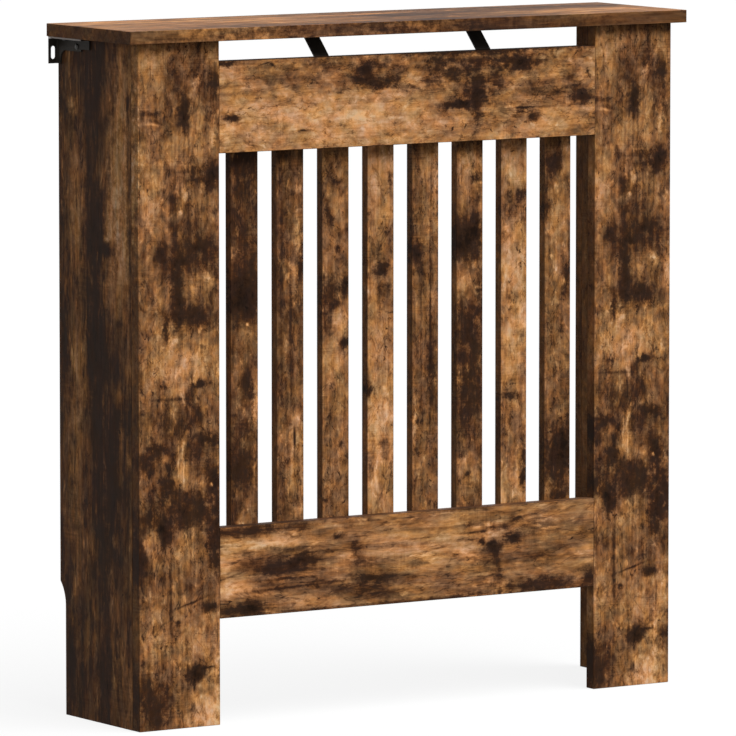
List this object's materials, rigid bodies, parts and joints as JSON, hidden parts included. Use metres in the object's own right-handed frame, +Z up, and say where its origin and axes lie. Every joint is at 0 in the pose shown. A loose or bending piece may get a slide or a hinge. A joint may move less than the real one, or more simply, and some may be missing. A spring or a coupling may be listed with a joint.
{
  "type": "radiator cover cabinet",
  "caption": "Free-standing radiator cover in laminated board: a slatted front between two pillars, side panels cut out for the skirting board, and a top shelf with a vent gap under it.",
  "frame": {"origin": "on the floor, at the middle of the cover's width and depth", "axes": "+X from the cover's left to its right as seen from the room, +Y from the room to the wall, +Z up"},
  "size_m": [0.78, 0.19, 0.815],
  "materials": {
    "oak_laminate": "chipboard with a rustic smoked-oak laminate, satin matt",
    "black_steel": "black powder coat, satin",
    "zinc": "zinc plated",
    "beech": "plain beech, fluted"
  },
  "bodies": {
    "root": {"top_board": "oak_laminate", "left_pillar_board": "oak_laminate", "left_side_panel": "oak_laminate", "right_pillar_board": "oak_laminate", "right_side_panel": "oak_laminate", "upper_rail": "oak_laminate", "lower_rail": "oak_laminate", "slat_1": "oak_laminate", "slat_2": "oak_laminate", "slat_3": "oak_laminate", "slat_4": "oak_laminate", "slat_5": "oak_laminate", "slat_6": "oak_laminate", "slat_7": "oak_laminate", "slat_8": "oak_laminate", "left_batten": "oak_laminate", "left_stile": "oak_laminate", "right_batten": "oak_laminate", "right_stile": "oak_laminate", "left_top_brace": "black_steel", "left_wall_bracket": "black_steel", "right_top_brace": "black_steel", "right_wall_bracket": "black_steel", "left_front_cam_1": "zinc", "left_front_cam_1_bolt": "zinc", "left_front_cam_2": "zinc", "left_front_cam_2_bolt": "zinc", "left_top_cam_1": "zinc", "left_top_cam_1_bolt": "zinc", "left_top_cam_2": "zinc", "left_top_cam_2_bolt": "zinc", "right_front_cam_1": "zinc", "right_front_cam_1_bolt": "zinc", "right_front_cam_2": "zinc", "right_front_cam_2_bolt": "zinc", "right_top_cam_1": "zinc", "right_top_cam_1_bolt": "zinc", "right_top_cam_2": "zinc", "right_top_cam_2_bolt": "zinc", "left_lower_dowel_1": "beech", "left_lower_dowel_2": "beech", "left_upper_dowel_1": "beech", "left_upper_dowel_2": "beech", "right_lower_dowel_1": "beech", "right_lower_dowel_2": "beech", "right_upper_dowel_1": "beech", "right_upper_dowel_2": "beech", "left_brace_rail_screw": "zinc", "left_brace_top_screw": "zinc", "left_bracket_side_screw": "zinc", "left_bracket_top_screw": "zinc", "left_batten_screw_1": "zinc", "left_batten_screw_2": "zinc", "right_brace_rail_screw": "zinc", "right_brace_top_screw": "zinc", "right_bracket_side_screw": "zinc", "right_bracket_top_screw": "zinc", "right_batten_screw_1": "zinc", "right_batten_screw_2": "zinc"}
  },
  "joints": []
}
